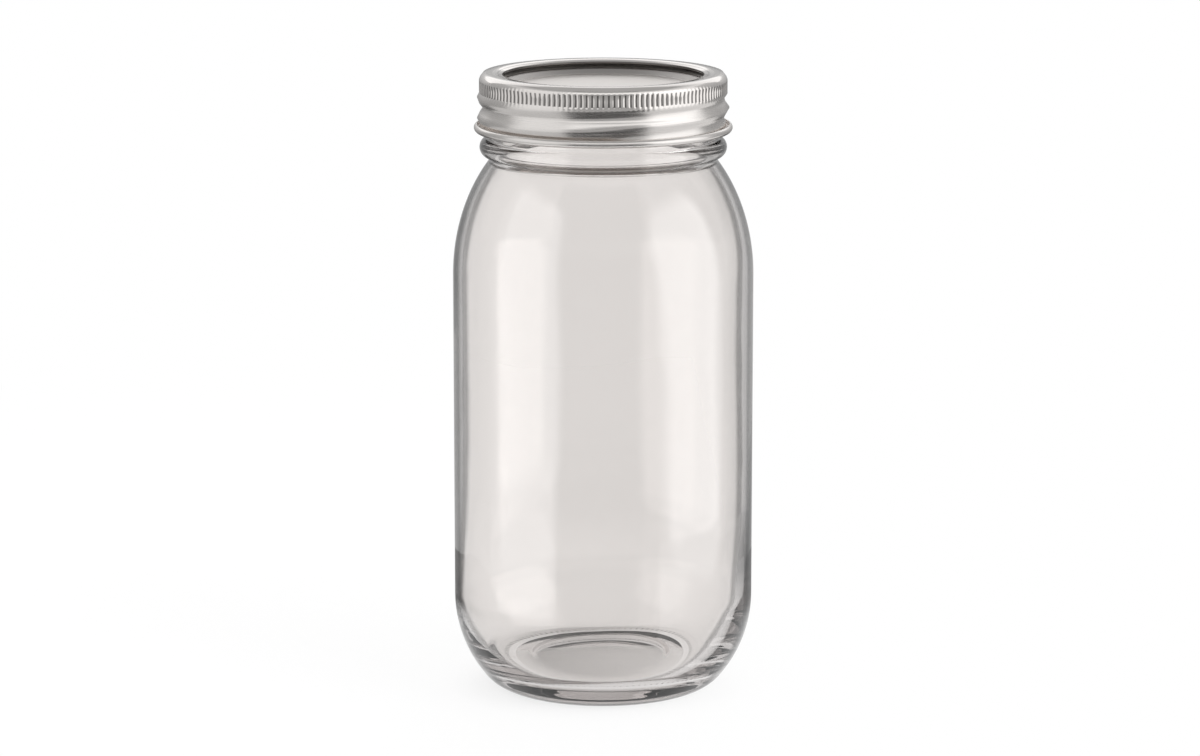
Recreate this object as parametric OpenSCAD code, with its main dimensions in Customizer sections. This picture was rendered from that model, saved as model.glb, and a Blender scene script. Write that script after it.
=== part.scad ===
// Clear glass preserving jar with a two-piece lid: a flat disc with a sealing ring, under a screw band.
// Millimetres, +Z up. The origin is the centre of the ring that the jar stands on.

/* [Glass body] */
// Outside radius of the straight wall
body_r = 43.85; // [40:0.05:55]
// Thickness of the glass in the wall and shoulder
wall_t = 2.6; // [1.8:0.1:3.2]
// Height of the heel's top, where the straight wall begins
heel_h = 27.2; // [24:0.1:34]
// Radius of the heel's tight lower arc
heel_round = 10.9; // [8:0.1:12]
// Radius of the inner heel's tight lower arc
inner_heel_round = 8.5; // [7:0.1:10]
// Height from the outer heel's top to the inner heel's top
inner_heel_up = 2; // [0:0.1:6]
// Width of the flat ring that the jar stands on
foot_w = 2.4; // [1.5:0.1:4]
// Radius of the flat ring's outer edge
foot_r = 28.6; // [26:0.1:30]
// Angle at which the heel rises from that ring
foot_slope = 9; // [4:1:14]
// Height of the hollow under the base
pushup_h = 3.2; // [2:0.1:5]
// Distance from the ring's inner edge to the round step in that hollow
pushup_step_in = 4.5; // [2:0.1:8]
// Width of the slope of that step
pushup_step_w = 2.5; // [1:0.1:4]
// Depth of that step
pushup_step = 0.6; // [0.3:0.1:1.2]
// Thickness of the glass at the middle of the base
floor_t = 4.2; // [3:0.1:6]
// Distance from the ring's outer edge to the edge of the flat floor inside
floor_in = 0.5; // [0:0.1:3]
// Height of the straight wall's top, where the shoulder begins
wall_top_z = 122.8; // [80:0.1:200]
// Height of the shoulder
shoulder_h = 33; // [28:0.1:45]
// Angle of the ellipse that the shoulder follows
shoulder_angle = 43; // [35:1:50]

/* [Glass finish] */
// Radius of the mouth
mouth_r = 30.15; // [28:0.05:34]
// Thickness of the glass in the neck, between the thread's turns
neck_t = 3.75; // [3.2:0.05:5]
// How far the neck's narrow part under the bead lies inside the neck
waist_in = 0.6; // [0.2:0.05:1.2]
// Radius of the hollow curve between the shoulder and the neck's narrow part
waist_round = 1.6; // [0.8:0.1:2]
// Height from the shoulder's top to the rim
finish_h = 24.4; // [23.4:0.1:28]
// Height of the bead's middle above the shoulder's top
bead_up = 4.55; // [4.2:0.05:5.5]
// Radius of the bead's round section
bead_round = 2.8; // [2.4:0.1:3]
// How far the bead stands out from the neck
bead_proud = 2.05; // [1.6:0.05:2.5]
// Radius of the rim's rounded edges
rim_round = 1.1; // [0.5:0.1:1.4]

/* [Thread] */
// Climb of the thread in one turn
pitch = 5.08; // [4.6:0.01:5.4]
// How far the glass thread stands out from the neck
thread_h = 1.1; // [0.9:0.05:1.3]
// Width of the glass thread where it meets the neck
thread_w = 3.6; // [3:0.1:3.8]
// Turns of the glass thread
thread_turns = 1.25; // [1:0.05:1.4]
// Depth of the glass thread's upper end below the rim
thread_drop = 4.5; // [4:0.1:5.5]
// Height of the glass thread above the band's ridge that pulls on it
thread_gap = 1.8; // [1.6:0.05:2.6]
// How far the band's ridge reaches in behind the glass thread
bite = 0.4; // [0.3:0.05:0.6]

/* [Lid disc] */
// Thickness of the disc's sheet
disc_t = 0.25; // [0.2:0.01:0.35]
// How far the disc's edge stands out beyond the neck
disc_over = 0.3; // [0.2:0.05:0.6]
// Depth of the disc's panel below its raised edge
panel_depth = 3.1; // [2.4:0.1:4]
// Distance from the disc's well to the flat panel
panel_in = 3.2; // [2.6:0.1:8]
// Clearance between the disc's well and the mouth
well_gap = 0.55; // [0.45:0.05:1.2]
// Height of the edge's short skirt
skirt_h = 0.4; // [0.2:0.05:0.5]
// Thickness of the sealing ring
gasket_t = 0.75; // [0.5:0.05:1]
// Distance from the mouth's edge to the sealing ring
seal_in = 1.15; // [0.9:0.05:1.4]
// Distance from the sealing ring to the neck's outside
seal_out = 0.4; // [0.3:0.05:0.8]

/* [Screw band] */
// Thickness of the band's sheet
band_t = 0.3; // [0.25:0.01:0.4]
// Clearance between the disc's edge and the band's wall
disc_gap = 1.25; // [0.9:0.05:1.6]
// Height of the knurled ring
knurl_h = 4.2; // [3:0.1:4.6]
// Height of the knurls from root to crest
knurl_depth = 0.25; // [0.15:0.05:0.4]
// Number of knurls
knurls = 144; // [72:2:180]
// Radius of the band's upper corner
corner_r = 1.8; // [1.4:0.1:2.4]
// How far the band's top reaches in past the mouth's edge
opening_in = 1.05; // [0.8:0.05:3]
// Radius of the hem's fold at the edge of the opening, to the middle of the sheet
hem_round = 0.38; // [0.3:0.02:0.4]
// Width of the hem's flat part under the edge
hem_w = 0.4; // [0.2:0.05:0.5]
// Fall of the top from its crown to the opening
top_fall = 0.45; // [0.2:0.05:0.6]
// Clearance between the glass thread and the wall between the grooves
swell_gap = 1.3; // [1:0.05:1.8]
// Height of the whole band
band_h = 17.25; // [16.8:0.05:18]
// Outer radius of the curl's section
curl_r = 1.2; // [1:0.05:1.3]
// Clearance between the glass thread and the curl
curl_gap = 0.15; // [0.1:0.05:0.4]
// Clear height between the disc's raised edge and the band's top
seat_gap = 0.15; // [0.1:0.05:0.4]

/* [Hidden] */
$fn = 120;

// Steps of an exact outline's arc
ARC_STEPS = 8;
// Steps of a small bend's arc
BEND_STEPS = 5;
// Steps of a helix in one turn
TURN_STEPS = 90;
// How far the threaded wall's skins lie inside the skins of the rings that it joins
LAP = 0.02;

// Points on a circle's arc, from angle a to angle b
function arc(centre, r, a, b, steps = ARC_STEPS) =
    [for (i = [0:steps]) centre + r * [cos(a + (b - a) * i / steps), sin(a + (b - a) * i / steps)]];

// Points on an ellipse from a vertical start at from, ending at to, after turning by sweep
function ellipse_arc(from, to, sweep, steps = ARC_STEPS) =
    [for (i = [0:steps]) let (t = sweep * i / steps)
        [from[0] + (to[0] - from[0]) * (1 - cos(t)) / (1 - cos(sweep)),
         from[1] + (to[1] - from[1]) * sin(t) / sin(sweep)]];

// Lean from the vertical at the end of such an ellipse that goes in by w and up by h
function ellipse_lean(w, h, sweep) = atan2(w * sin(sweep) / (1 - cos(sweep)), h * cos(sweep) / sin(sweep));

// Points of a two-arc heel: a tight arc of radius r that would reach flat_end flat, then a wide one to a
// vertical end; the points start where the tight arc rises at the angle rise
function heel(flat_end, wall_end, r, rise = 0, steps = ARC_STEPS) =
    let (w = wall_end[0] - flat_end[0])
    let (h = wall_end[1] - flat_end[1])
    let (wide = (w * w + h * h - 2 * r * h) / (2 * (w - r)))
    let (turn = atan2(h - r, wide - w))
    let (low = arc([flat_end[0], flat_end[1] + r], r, rise - 90, -turn, steps))
    concat(low, [for (i = [1:steps]) let (a = -turn * (1 - i / steps))
        [wall_end[0] - wide + wide * cos(a), wall_end[1] + wide * sin(a)]]);

// Smooth step from 0 at a to 1 at b
function ease(a, b, x) = let (t = min(1, max(0, (x - a) / (b - a)))) t * t * (3 - 2 * t);

// Blend from a to b by share t
function mix(a, b, t) = a + (b - a) * t;

// Unit vector
function unit(v) = v / norm(v);

// Left-hand normal of a path's segment i
function left(path, i) = let (d = unit(path[i + 1] - path[i])) [-d[1], d[0]];

// A path moved sideways by d, with mitred corners
function beside(path, d) =
    [for (i = [0:len(path) - 1])
        let (a = left(path, max(0, i - 1)))
        let (b = left(path, min(len(path) - 2, i)))
        path[i] + (a + b) * d / (1 + a * b)];

function reversed(list) = [for (i = [len(list) - 1:-1:0]) list[i]];

// Closed outline of a sheet of thickness t along a centre path
function sheet(path, t) = concat(beside(path, t / 2), reversed(beside(path, -t / 2)));

// Heights of the glass
waist_z = wall_top_z + shoulder_h;
rim_z = waist_z + finish_h;
bead_z = waist_z + bead_up;
floor_z = pushup_h + floor_t;

// Radii of the glass
neck_r = mouth_r + neck_t;
waist_r = neck_r - waist_in;
bead_centre_r = neck_r + bead_proud - bead_round;
inner_r = body_r - wall_t;
foot_in = foot_r - foot_w;
floor_r = foot_r - floor_in;
pushup_step_r = foot_in - pushup_step_in;
crest_r = neck_r + thread_h;

// Places of the disc and the sealing ring, set by the mouth and the neck
disc_r = neck_r + disc_over;
well_r = mouth_r - well_gap;
panel_r = well_r - panel_in;
gasket_in = mouth_r + seal_in;
gasket_out = neck_r - seal_out;
lip_z = rim_z + gasket_t + disc_t;

// Places of the band, set by the disc and the glass thread
opening_r = mouth_r - opening_in;
upper_wall_r = disc_r + disc_gap + band_t;
knurl_r = upper_wall_r + knurl_depth;
swell_r = crest_r + swell_gap + band_t;
groove_r = crest_r - bite + band_t;
curl_in = crest_r + curl_gap;
curl_centre_r = curl_in + curl_r;
band_top = lip_z + seat_gap + band_t + top_fall;
knurl_top = band_top - corner_r;
knurl_bottom = knurl_top - knurl_h;
curl_z = band_top - band_h + curl_r;

// Angles at which the glass thread ends and starts, measured from +X, and its middle height at any angle
THREAD_END_ANGLE = 330;
thread_start = THREAD_END_ANGLE - 360 * thread_turns;
function thread_z(a) = rim_z - thread_drop - pitch * (THREAD_END_ANGLE - a) / 360;

// Angles from the glass thread's lower end to the start of the band's rolled ridge, and past its upper end
RIDGE_LATE_ANGLE = 10;
RIDGE_PAST_ANGLE = 100;
ridge_start = thread_start + RIDGE_LATE_ANGLE;
ridge_end = THREAD_END_ANGLE + RIDGE_PAST_ANGLE;
function ridge_z(a) = thread_z(a) - thread_gap;

// GLASS JAR

// Points along the dome and along the slope of its step
STEP_POINTS = 4;

// Height of the hollow's dome above its rim, at radius r
function dome(r) = (pushup_h - pushup_step) * (1 - pow(r / foot_in, 2));

// The hollow under the base: the dome, the slope of its step, and the ring's inner edge
function underside() =
    let (top_r = pushup_step_r - pushup_step_w)
    concat(
        [for (i = [0:STEP_POINTS]) let (r = top_r * i / STEP_POINTS) [r, dome(r) + pushup_step]],
        [for (i = [1:STEP_POINTS])
            let (r = top_r + pushup_step_w * i / STEP_POINTS)
            [r, dome(r) + pushup_step * ease(STEP_POINTS, 0, i)]],
        [[foot_in, 0]]);

// The hollow curve between the shoulder and the neck's narrow part, turning by lean
function waist(lean) = [for (i = [1:BEND_STEPS]) let (t = lean * (i / BEND_STEPS - 1))
    [waist_r + waist_round * (1 - cos(t)), waist_z + waist_round * (sin(lean) + sin(t))]];

// The bead's round section, from the narrow part to the neck
function bead() = arc([bead_centre_r, bead_z], bead_round,
    -acos((waist_r - bead_centre_r) / bead_round),
    acos((neck_r - bead_centre_r) / bead_round));

function outside() =
    let (lean = ellipse_lean(body_r - waist_r, shoulder_h, shoulder_angle))
    let (shoulder_end = [waist_r + waist_round * (1 - cos(lean)), waist_z])
    concat(
        heel([foot_r - heel_round * sin(foot_slope), heel_round * (cos(foot_slope) - 1)],
            [body_r, heel_h], heel_round, foot_slope),
        ellipse_arc([body_r, wall_top_z], shoulder_end, shoulder_angle),
        waist(lean),
        bead(),
        arc([neck_r - rim_round, rim_z - rim_round], rim_round, 0, 90, BEND_STEPS));

function inside() = concat(
    arc([mouth_r + rim_round, rim_z - rim_round], rim_round, 90, 180, BEND_STEPS),
    reversed(ellipse_arc([inner_r, wall_top_z], [mouth_r, waist_z + wall_t / 2], shoulder_angle)),
    reversed(heel([floor_r, floor_z], [inner_r, heel_h + inner_heel_up], inner_heel_round)),
    [[0, floor_z]]);

// Points of the glass thread's section, and how far its edges are sunk in the neck
THREAD_POINTS = 9;
THREAD_SINK = 0.5;
// Angle in which the glass thread rises to its full height, and its height at the very end as a share
THREAD_TAPER_ANGLE = 35;
THREAD_TIP = 0.12;

// One section of the glass thread at angle a: a rounded crest between two points sunk in the neck
function thread_section(a, grow) =
    [for (i = [0:THREAD_POINTS - 1]) let (u = 2 * i / (THREAD_POINTS - 1) - 1)
        let (r = neck_r - THREAD_SINK + (thread_h + THREAD_SINK) * grow * (1 + cos(180 * u)) / 2)
        [r * cos(a), r * sin(a), thread_z(a) + thread_w / 2 * u]];

module glass_thread() {
    steps = round(TURN_STEPS * thread_turns);
    n = THREAD_POINTS;
    points = [for (k = [0:steps])
        let (a = mix(thread_start, THREAD_END_ANGLE, k / steps))
        let (rise = ease(0, THREAD_TAPER_ANGLE, a - thread_start))
        let (fall = ease(0, THREAD_TAPER_ANGLE, THREAD_END_ANGLE - a))
        each thread_section(a, mix(THREAD_TIP, 1, rise * fall))];
    sides = [for (k = [0:steps - 1]) for (j = [0:n - 1])
        let (p = k * n + j)
        let (q = k * n + (j + 1) % n)
        each [[p, q, q + n], [p, q + n, p + n]]];
    first = [[for (j = [n - 1:-1:0]) j]];
    last = [[for (j = [0:n - 1]) steps * n + j]];
    polyhedron(points, concat(sides, first, last));
}

module glass_jar() {
    color([0.86, 0.9, 0.9, 0.45])
    union() {
        rotate_extrude() polygon(concat(underside(), outside(), inside()));
        glass_thread();
    }
}

// LID DISC AND SEALING RING

// Height of the ledge round the panel, as a share of the panel's depth
LEDGE_SHARE = 0.45;
// Width of the ledge, and the rise and width of each small bend in the sheet
LEDGE_W = 1.2;
BEND_RISE = 0.2;
BEND_W = 0.4;
// Radius of the disc's outer corner, to the middle of the sheet
EDGE_ROUND = 0.5;

// Centre path of the disc's sheet, from the middle of the panel to the skirt
function disc_path() =
    let (top = lip_z - disc_t / 2)
    let (low = top - panel_depth)
    let (ledge_z = low + panel_depth * LEDGE_SHARE)
    let (ledge_in = well_r - LEDGE_W)
    let (edge_r = disc_r - disc_t / 2)
    concat(
        [[0, low], [panel_r, low], [panel_r + BEND_W, low + BEND_RISE]],
        [[ledge_in - BEND_W, ledge_z - BEND_RISE], [ledge_in, ledge_z]],
        [[well_r - BEND_W, ledge_z], [well_r, ledge_z + BEND_RISE]],
        [[gasket_in - BEND_W, top - BEND_RISE], [gasket_in, top]],
        arc([edge_r - EDGE_ROUND, top - EDGE_ROUND], EDGE_ROUND, 90, 0, BEND_STEPS),
        [[edge_r, top - EDGE_ROUND - skirt_h]]);

module lid_disc() {
    color([0.84, 0.82, 0.8])
    rotate_extrude() polygon(sheet(disc_path(), disc_t));
}

module sealing_gasket() {
    color([0.93, 0.9, 0.84])
    rotate_extrude()
    translate([gasket_in, rim_z]) square([gasket_out - gasket_in, gasket_t]);
}

// SCREW BAND

// Centre path of the band's top: the hem of the opening, the crown, the corner and the wall behind the knurls
function top_path() =
    let (crown_z = band_top - band_t / 2)
    let (edge_z = crown_z - top_fall)
    let (hem_r = opening_r + band_t / 2 + hem_round)
    let (wall_r = upper_wall_r - band_t / 2)
    let (round = corner_r - band_t / 2)
    concat(
        [[hem_r + hem_w, edge_z - 2 * hem_round]],
        arc([hem_r, edge_z - hem_round], hem_round, 270, 90),
        arc([wall_r - round, crown_z - round], round, 90, 0),
        [[wall_r, knurl_bottom]]);

// Angle at which the curl's free edge ends, and how far its start laps up into the threaded wall
CURL_END_ANGLE = 440;
CURL_LAP = 0.9;
CURL_STEPS = 18;

// Centre path of the curl: down the inner side, round the bottom and up again to a free edge
function curl_path() =
    let (r = curl_r - band_t / 2)
    concat(
        [[curl_centre_r - r, curl_z + CURL_LAP]],
        arc([curl_centre_r, curl_z], r, 180, CURL_END_ANGLE, CURL_STEPS));

// Angle in which the rolled ridge rises to its full depth
RIDGE_TAPER_ANGLE = 40;

// Outside radius of the threaded wall at angle a, height z: full out between turns, rolled in along the helix
function wall_radius(a, z) =
    let (turns = (z - ridge_z(a)) / pitch)
    let (k = round(turns))
    let (along = a + 360 * k)
    let (rise = ease(0, RIDGE_TAPER_ANGLE, along - ridge_start))
    let (fall = ease(0, RIDGE_TAPER_ANGLE, ridge_end - along))
    mix(swell_r, groove_r, rise * fall * (1 + cos(360 * (turns - k))) / 2);

// Heights in which the threaded wall runs into the knurled ring, and into the curl
KNURL_EASE = 1.1;
CURL_EASE = 1.7;
// Height at which the threaded wall stands straight over the curl, and its reach up behind the knurls
CURL_FLAT = 0.7;
KNURL_LAP = 0.5;

// The same radius eased into the knurled ring above and into the curl below
function eased_radius(a, z) =
    let (upper = ease(knurl_bottom - KNURL_EASE, knurl_bottom, z))
    let (lower = ease(-CURL_FLAT - CURL_EASE, -CURL_FLAT, curl_z - z))
    mix(mix(wall_radius(a, z), upper_wall_r, upper), curl_in + band_t, lower);

// Rows of points up each skin of the threaded wall
WALL_ROWS = 16;

module threaded_wall() {
    low = curl_z + CURL_LAP / 3;
    high = knurl_bottom + KNURL_LAP;
    n = 2 * WALL_ROWS;
    points = [for (k = [0:TURN_STEPS - 1]) let (a = 360 * k / TURN_STEPS)
        for (j = [0:n - 1])
            let (out = j < WALL_ROWS)
            let (i = out ? j : n - 1 - j)
            let (z = mix(low, high, i / (WALL_ROWS - 1)))
            let (r = eased_radius(a, z) - (out ? LAP : band_t - LAP))
            [r * cos(a), r * sin(a), z]];
    faces = [for (k = [0:TURN_STEPS - 1]) for (j = [0:n - 1])
        let (p = k * n + j)
        let (q = k * n + (j + 1) % n)
        let (s = ((k + 1) % TURN_STEPS) * n + j)
        let (t = ((k + 1) % TURN_STEPS) * n + (j + 1) % n)
        each [[p, q, t], [p, t, s]]];
    polyhedron(points, faces);
}

// Height of a knurl's outline at each of its four points, as a share
KNURL_FORM = [0.04, 0.55, 1, 0.55];

// The ring of upright knurls, one wavy outline
module knurled_ring() {
    n = len(KNURL_FORM);
    outline = [for (i = [0:knurls * n - 1])
        let (r = upper_wall_r + knurl_depth * KNURL_FORM[i % n])
        let (a = 360 * i / (knurls * n))
        r * [cos(a), sin(a)]];
    translate([0, 0, knurl_bottom])
    linear_extrude(knurl_h)
    difference() {
        polygon(outline);
        circle(upper_wall_r - band_t / 2);
    }
}

module screw_band() {
    color([0.78, 0.77, 0.75])
    union() {
        rotate_extrude() polygon(sheet(top_path(), band_t));
        knurled_ring();
        threaded_wall();
        rotate_extrude() polygon(sheet(curl_path(), band_t));
    }
}

glass_jar();
lid_disc();
sealing_gasket();
screw_band();
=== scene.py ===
"""A clear glass preserving jar with its disc, sealing ring and screw band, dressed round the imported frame."""

import logging
import math
from dataclasses import dataclass, field
from enum import Enum

import bpy
import numpy as np
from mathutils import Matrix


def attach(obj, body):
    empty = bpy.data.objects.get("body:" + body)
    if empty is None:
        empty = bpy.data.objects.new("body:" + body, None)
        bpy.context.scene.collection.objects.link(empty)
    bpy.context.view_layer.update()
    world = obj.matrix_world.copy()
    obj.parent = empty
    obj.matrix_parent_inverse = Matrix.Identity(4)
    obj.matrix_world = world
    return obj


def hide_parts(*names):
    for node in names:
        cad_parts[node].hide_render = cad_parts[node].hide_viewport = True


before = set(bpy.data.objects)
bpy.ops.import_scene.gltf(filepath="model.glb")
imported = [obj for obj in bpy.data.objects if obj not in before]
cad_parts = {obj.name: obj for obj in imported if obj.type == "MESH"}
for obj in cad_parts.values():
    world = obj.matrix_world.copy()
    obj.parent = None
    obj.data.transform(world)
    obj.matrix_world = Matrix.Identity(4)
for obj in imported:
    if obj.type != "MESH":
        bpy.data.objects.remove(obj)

LOG = logging.getLogger("preserving_jar")
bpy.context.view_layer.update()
MM = 0.001
TURN = 2 * math.pi


class Slot(Enum):
    """The record's material slots."""

    GLASS = "clear_glass"
    DISC = "disc_tinplate"
    SEAL = "sealing_compound"
    BAND = "band_tinplate"


def ease(start: float, end: float, x: np.ndarray) -> np.ndarray:
    """Smooth step: 0 at start, 1 at end, with 3t^2 - 2t^3 between.

    Args:
        start: Value of x where the step begins.
        end: Value of x where it ends.
        x: Places to work it out at.

    Returns:
        The step at each place.
    """
    t = np.clip((x - start) / (end - start), 0, 1)
    return t * t * (3 - 2 * t)


def mix(a: np.ndarray, b: np.ndarray, share: np.ndarray) -> np.ndarray:
    """Blend from a to b by share."""
    return a + (b - a) * share


def line(start: tuple[float, float], end: tuple[float, float], count: int) -> np.ndarray:
    """Points along a straight line: start + (end - start) t, for count even steps of t, without the end itself."""
    t = np.arange(count)[:, None] / count
    return mix(np.array(start, float), np.array(end, float), t)


def arc(centre: tuple[float, float], radius: float, start: float, end: float, count: int) -> np.ndarray:
    """Points on a circle: centre + radius (cos a, sin a), with a running evenly from start to end in degrees.

    Args:
        centre: Radius and height of the circle's centre.
        radius: Radius of the circle.
        start: First angle, in degrees.
        end: Last angle, in degrees.
        count: Number of points, both ends included.

    Returns:
        An array of count rows of radius and height.
    """
    a = np.radians(np.linspace(start, end, count))
    return np.array(centre, float) + radius * np.stack([np.cos(a), np.sin(a)], 1)


def ellipse_arc(start: tuple[float, float], end: tuple[float, float], sweep: float, count: int) -> np.ndarray:
    """Points on an ellipse that leaves start upright and reaches end after turning by sweep.

    The radius follows 1 - cos t and the height follows sin t, each scaled to arrive at end.

    Args:
        start: Radius and height of the upright end.
        end: Radius and height of the leaning end.
        sweep: Angle t at the leaning end, in degrees.
        count: Number of points, both ends included.

    Returns:
        An array of count rows of radius and height.
    """
    s = math.radians(sweep)
    t = np.linspace(0, s, count)
    inward = (1 - np.cos(t)) / (1 - math.cos(s))
    upward = np.sin(t) / math.sin(s)
    return np.stack([mix(start[0], end[0], inward), mix(start[1], end[1], upward)], 1)


def heel(flat_end: tuple[float, float], wall_end: tuple[float, float], tight: float, count: int,
         rise: float = 0.0) -> np.ndarray:
    """Points of a two-arc heel: a tight arc from a flat end, then a wide tangent one to an upright end.

    The wide radius is the one whose circle touches both the tight circle and the upright wall.

    Args:
        flat_end: Radius and height where the heel leaves the flat.
        wall_end: Radius and height where it meets the wall.
        tight: Radius of the tight arc.
        count: Points on each arc.
        rise: Slope at which the tight arc starts, in degrees, for a floor that is dished.

    Returns:
        An array of rows of radius and height.
    """
    across = wall_end[0] - flat_end[0]
    up = wall_end[1] - flat_end[1]
    wide = (across**2 + up**2 - 2 * tight * up) / (2 * (across - tight))
    turn = math.degrees(math.atan2(up - tight, wide - across))
    low = arc((flat_end[0], flat_end[1] + tight), tight, rise - 90, -turn, count)
    high = arc((wall_end[0] - wide, wall_end[1]), wide, -turn, 0, count)
    return np.concatenate([low, high[1:]])


def beside(path: np.ndarray, offset: float) -> np.ndarray:
    """A path moved sideways: each point plus offset times the left-hand normal of the path's mean direction there.

    Args:
        path: Points of radius and height along the first axis, with any number of axes before the last.
        offset: Distance to the left of the direction of travel.

    Returns:
        The moved path, of the same shape.
    """
    step = np.diff(path, axis=0)
    step /= np.linalg.norm(step, axis=-1, keepdims=True)
    along = np.concatenate([step[:1], step[:-1] + step[1:], step[-1:]])
    along /= np.linalg.norm(along, axis=-1, keepdims=True)
    normal = np.stack([-along[..., 1], along[..., 0]], -1)
    return path + offset * normal


def sheet_outline(path: np.ndarray, thickness: float, coarse: int = 1) -> np.ndarray:
    """Closed outline of a sheet along its centre path: one skin there, the other back.

    Args:
        path: Centre path, rows of radius and height along the first axis.
        thickness: Thickness of the sheet.
        coarse: The skin on the way back keeps every coarse-th row.

    Returns:
        The outline, in the order that puts the sheet on the left of the first skin.
    """
    first = beside(path, -thickness / 2)
    back = beside(path, thickness / 2)
    keep = np.unique(np.append(np.arange(0, len(path), coarse), len(path) - 1))
    return np.concatenate([first, back[keep][::-1]])


@dataclass
class Lathe:
    """A closed surface made by carrying a profile round the jar's axis.

    Attributes:
        name: Name of the piece.
        segments: Steps round the axis.
        texture_radius: Radius at which the UV map's first direction is in real metres.
    """

    name: str
    segments: int
    texture_radius: float

    def angles(self) -> np.ndarray:
        """Angles of the steps round the axis, in radians."""
        return np.arange(self.segments) * TURN / self.segments

    def spread(self, profile: np.ndarray) -> np.ndarray:
        """The same profile at every step: rows of points by steps by radius and height."""
        return np.repeat(profile[:, None, :], self.segments, axis=1)

    def build(self, grid: np.ndarray, centre: np.ndarray | None = None, poles: bool = False) -> bpy.types.Object:
        """Makes the mesh from a grid of radius and height.

        A point at radius r, height z and angle a lies at (r cos a, r sin a, z), moved by centre.
        Each face joins neighbours in both directions. The profile closes on itself, or on the
        axis at both ends where it has poles.

        Args:
            grid: Array of profile points by steps by radius and height, in millimetres.
            centre: Shift in X and Y of each profile point, in millimetres.
            poles: True if the first and last profile points are on the axis.

        Returns:
            The new object, in the scene, with a UV map in metres: round the axis, then along the profile.
        """
        rows, steps = grid.shape[:2]
        a = self.angles()[None, :]
        xyz = np.stack([grid[..., 0] * np.cos(a), grid[..., 0] * np.sin(a), grid[..., 1]], -1)
        if centre is not None:
            xyz[..., :2] += centre[:, None, :]
        length = np.concatenate([[0], np.cumsum(np.linalg.norm(np.diff(grid[:, 0], axis=0), axis=1))])
        closing = float(np.linalg.norm(grid[0, 0] - grid[-1, 0]))
        i = np.arange(rows - 1 if poles else rows)[:, None]
        j = np.arange(steps)[None, :]
        here = i * steps + j
        beyond = i * steps + (j + 1) % steps
        above = (i + 1) % rows * steps + j
        above_beyond = (i + 1) % rows * steps + (j + 1) % steps
        quads = np.stack([here, beyond, above_beyond, above], -1).reshape(-1, 4)
        v_low = np.broadcast_to(length[i], here.shape)
        v_high = np.broadcast_to(np.append(length, length[-1] + closing)[i + 1], here.shape)
        u_low = np.broadcast_to(j * TURN / steps * self.texture_radius, here.shape)
        u_high = u_low + TURN / steps * self.texture_radius
        uv = np.stack([
            np.stack([u_low, v_low], -1),
            np.stack([u_high, v_low], -1),
            np.stack([u_high, v_high], -1),
            np.stack([u_low, v_high], -1),
        ], -2).reshape(-1, 2)
        mesh = bpy.data.meshes.new(self.name)
        mesh.from_pydata((xyz.reshape(-1, 3) * MM).tolist(), [], quads.tolist())
        layer = mesh.uv_layers.new(name="surface")
        layer.data.foreach_set("uv", (uv * MM).astype(np.float32).ravel())
        if poles:
            self._merge_poles(mesh)
        mesh.shade_smooth()
        mesh.validate()
        piece = bpy.data.objects.new(self.name, mesh)
        bpy.context.scene.collection.objects.link(piece)
        return piece

    @staticmethod
    def _merge_poles(mesh: bpy.types.Mesh) -> None:
        """Joins the points that lie on the axis into one at each end."""
        import bmesh

        form = bmesh.new()
        form.from_mesh(mesh)
        on_axis = [v for v in form.verts if math.hypot(v.co.x, v.co.y) < 1e-7]
        bmesh.ops.remove_doubles(form, verts=on_axis, dist=1e-6)
        form.to_mesh(mesh)
        form.free()


class Shader:
    """A material's node tree, with short calls to add and join nodes."""

    def __init__(self, name: str) -> None:
        """Starts a material with one Principled BSDF."""
        self.material = bpy.data.materials.new(name)
        self.material.use_nodes = True
        self.tree = self.material.node_tree
        self.principled = self.tree.nodes["Principled BSDF"]
        self.output = self.tree.nodes["Material Output"]

    def add(self, kind: str, **values: object) -> bpy.types.Node:
        """Adds a node.

        Args:
            kind: The node's type, without its ShaderNode prefix.
            **values: Properties of the node, set by name.

        Returns:
            The node.
        """
        node = self.tree.nodes.new("ShaderNode" + kind)
        for key, value in values.items():
            setattr(node, key, value)
        return node

    def join(self, source: bpy.types.NodeSocket, target: bpy.types.NodeSocket) -> None:
        """Joins two sockets."""
        self.tree.links.new(source, target)

    def group(self, tree: bpy.types.NodeTree, **values: float) -> bpy.types.Node:
        """Places a shared node group with its own values.

        Args:
            tree: The group.
            **values: Input values by socket name, with underscores for spaces.

        Returns:
            The group node.
        """
        node = self.tree.nodes.new("ShaderNodeGroup")
        node.node_tree = tree
        for key, value in values.items():
            node.inputs[key.replace("_", " ")].default_value = value
        return node


def group_socket(tree: bpy.types.NodeTree, name: str, kind: str, way: str, value: float | None = None) -> None:
    """Adds an input or output socket to a node group.

    Args:
        tree: The group.
        name: The socket's name.
        kind: Float, Color or Vector.
        way: INPUT or OUTPUT.
        value: Starting value of a float input.
    """
    socket = tree.interface.new_socket(name=name, in_out=way, socket_type="NodeSocket" + kind)
    if value is not None:
        socket.default_value = value


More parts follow.
